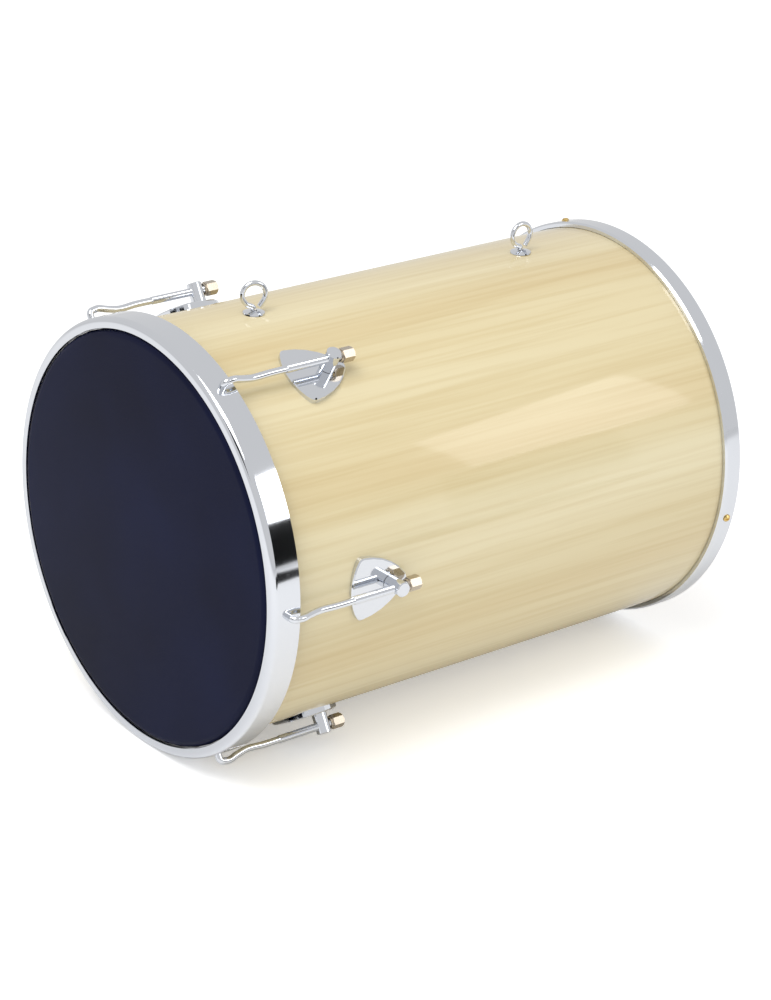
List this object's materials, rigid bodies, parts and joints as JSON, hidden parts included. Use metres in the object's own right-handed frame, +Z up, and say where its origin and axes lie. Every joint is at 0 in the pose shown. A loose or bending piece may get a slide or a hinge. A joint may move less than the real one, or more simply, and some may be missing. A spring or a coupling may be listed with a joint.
{
  "type": "rebolo drum",
  "caption": "Long single-headed samba drum: wooden cylinder, leatherette head under a hoop with hooked tension rods, lugs, tuning nuts, strap eyes and an open rear end.",
  "frame": {"origin": "on the floor under the middle of the drum, which lies on its side", "axes": "+Y along the drum from the head to the open end, +Z up through the strap eyes, +X to the right as seen from the head"},
  "size_m": [0.3428, 0.4412, 0.3383],
  "materials": {
    "veneer": "gloss varnish over pale veneer",
    "chrome": "bright plated steel",
    "leatherette": "dark blue, fine pebble",
    "hoop_alloy": "mill finish",
    "nickel": "worn nickel plate",
    "zinc": "zinc plate",
    "brass": "plain"
  },
  "bodies": {
    "drum": {"shell": "veneer", "rear_band": "chrome", "lug_plate_1": "chrome", "lug_plate_2": "chrome", "lug_plate_3": "chrome", "lug_plate_4": "chrome", "lug_plate_5": "chrome", "lug_plate_6": "chrome", "lug_post_1": "chrome", "lug_post_2": "chrome", "lug_post_3": "chrome", "lug_post_4": "chrome", "lug_post_5": "chrome", "lug_post_6": "chrome", "lug_screw_1": "zinc", "lug_screw_2": "zinc", "lug_screw_3": "zinc", "lug_screw_4": "zinc", "lug_screw_5": "zinc", "lug_screw_6": "zinc", "lug_washer_1": "zinc", "lug_washer_2": "zinc", "lug_washer_3": "zinc", "lug_washer_4": "zinc", "lug_washer_5": "zinc", "lug_washer_6": "zinc", "strap_eye_1": "chrome", "strap_eye_2": "chrome", "eye_flange_1": "chrome", "eye_flange_2": "chrome", "eye_washer_1": "zinc", "eye_washer_2": "zinc", "eye_nut_1": "zinc", "eye_nut_2": "zinc", "band_screw_1": "brass", "band_screw_2": "brass", "band_screw_3": "brass"},
    "tension_head": {"front_hoop": "chrome", "head_skin": "leatherette", "flesh_hoop": "hoop_alloy", "hook_rod_1": "chrome", "hook_rod_2": "chrome", "hook_rod_3": "chrome", "hook_rod_4": "chrome", "hook_rod_5": "chrome", "hook_rod_6": "chrome"},
    "nut_1": {"tuning_nut_1": "nickel"},
    "nut_2": {"tuning_nut_2": "nickel"},
    "nut_3": {"tuning_nut_3": "nickel"},
    "nut_4": {"tuning_nut_4": "nickel"},
    "nut_5": {"tuning_nut_5": "nickel"},
    "nut_6": {"tuning_nut_6": "nickel"}
  },
  "joints": [
    {"name": "head_tension", "type": "slide", "parent": "drum", "child": "tension_head", "axis": [0, -1, 0], "range_m": [0, 0.008]},
    {"name": "nut_1_turn", "type": "hinge", "parent": "drum", "child": "nut_1", "pos_m": [0.08265, -0.1041, 0.30431], "axis": [0, 1, 0], "range_deg": [0, 2880]},
    {"name": "nut_2_turn", "type": "hinge", "parent": "drum", "child": "nut_2", "pos_m": [0.1653, -0.1041, 0.16115], "axis": [0, 1, 0], "range_deg": [0, 2880]},
    {"name": "nut_3_turn", "type": "hinge", "parent": "drum", "child": "nut_3", "pos_m": [0.08265, -0.1041, 0.018], "axis": [0, 1, 0], "range_deg": [0, 2880]},
    {"name": "nut_4_turn", "type": "hinge", "parent": "drum", "child": "nut_4", "pos_m": [-0.08265, -0.1041, 0.018], "axis": [0, 1, 0], "range_deg": [0, 2880]},
    {"name": "nut_5_turn", "type": "hinge", "parent": "drum", "child": "nut_5", "pos_m": [-0.1653, -0.1041, 0.16115], "axis": [0, 1, 0], "range_deg": [0, 2880]},
    {"name": "nut_6_turn", "type": "hinge", "parent": "drum", "child": "nut_6", "pos_m": [-0.08265, -0.1041, 0.30431], "axis": [0, 1, 0], "range_deg": [0, 2880]}
  ],
  "couplings": [
    {"joint": "nut_1_turn", "follows": "head_tension", "rad_per_m": 6283.2},
    {"joint": "nut_2_turn", "follows": "head_tension", "rad_per_m": 6283.2},
    {"joint": "nut_3_turn", "follows": "head_tension", "rad_per_m": 6283.2},
    {"joint": "nut_4_turn", "follows": "head_tension", "rad_per_m": 6283.2},
    {"joint": "nut_5_turn", "follows": "head_tension", "rad_per_m": 6283.2},
    {"joint": "nut_6_turn", "follows": "head_tension", "rad_per_m": 6283.2}
  ]
}
